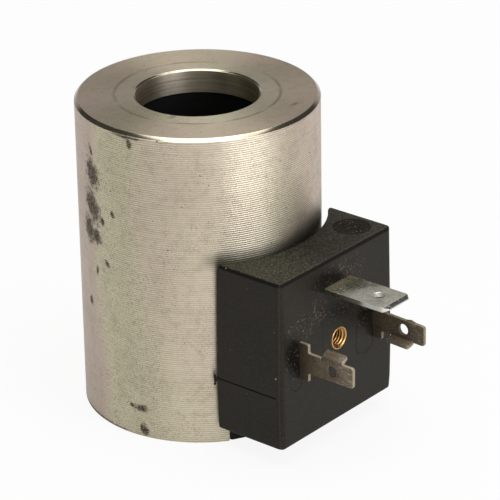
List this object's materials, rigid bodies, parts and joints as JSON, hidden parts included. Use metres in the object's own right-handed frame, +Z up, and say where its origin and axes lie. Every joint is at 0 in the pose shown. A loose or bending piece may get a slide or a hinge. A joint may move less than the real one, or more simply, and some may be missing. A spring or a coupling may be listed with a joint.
{
  "type": "solenoid coil",
  "caption": "Round solenoid coil for a hydraulic valve: plated steel cup with a through bore and a moulded plug base at its side with flat terminals.",
  "frame": {"origin": "on the bore's axis, at the bottom face of the housing and pole ring", "axes": "+Z up the bore towards the closed end; the plug base and its terminals face -Y; +X to the right of the plug face"},
  "size_m": [0.0375, 0.0571, 0.0503],
  "materials": {
    "plated_steel": "turned, zinc plated",
    "plated_ring": "turned, zinc plated",
    "black_moulding": "matt moulded",
    "carrier_moulding": "matt moulded",
    "bobbin_plastic": "moulded",
    "copper_wire": "enamelled",
    "polyester_tape": "smooth film",
    "glass_sleeve": "varnished braid",
    "solder": "dull",
    "tarnished_sheet": "tarnished plating",
    "tinned_sheet": "tinned, smudged",
    "turned_brass": "turned, bright"
  },
  "bodies": {
    "root": {"steel_housing": "plated_steel", "bottom_pole_ring": "plated_ring", "moulded_body": "black_moulding", "bobbin": "bobbin_plastic", "copper_winding": "copper_wire", "winding_tape": "polyester_tape", "start_lead": "copper_wire", "finish_lead": "copper_wire", "start_lead_sleeve": "glass_sleeve", "finish_lead_sleeve": "glass_sleeve", "start_solder_joint": "solder", "finish_solder_joint": "solder", "terminal_carrier": "carrier_moulding", "power_terminal_left": "tarnished_sheet", "power_terminal_right": "tarnished_sheet", "earth_terminal": "tinned_sheet", "threaded_insert": "turned_brass"}
  },
  "joints": []
}
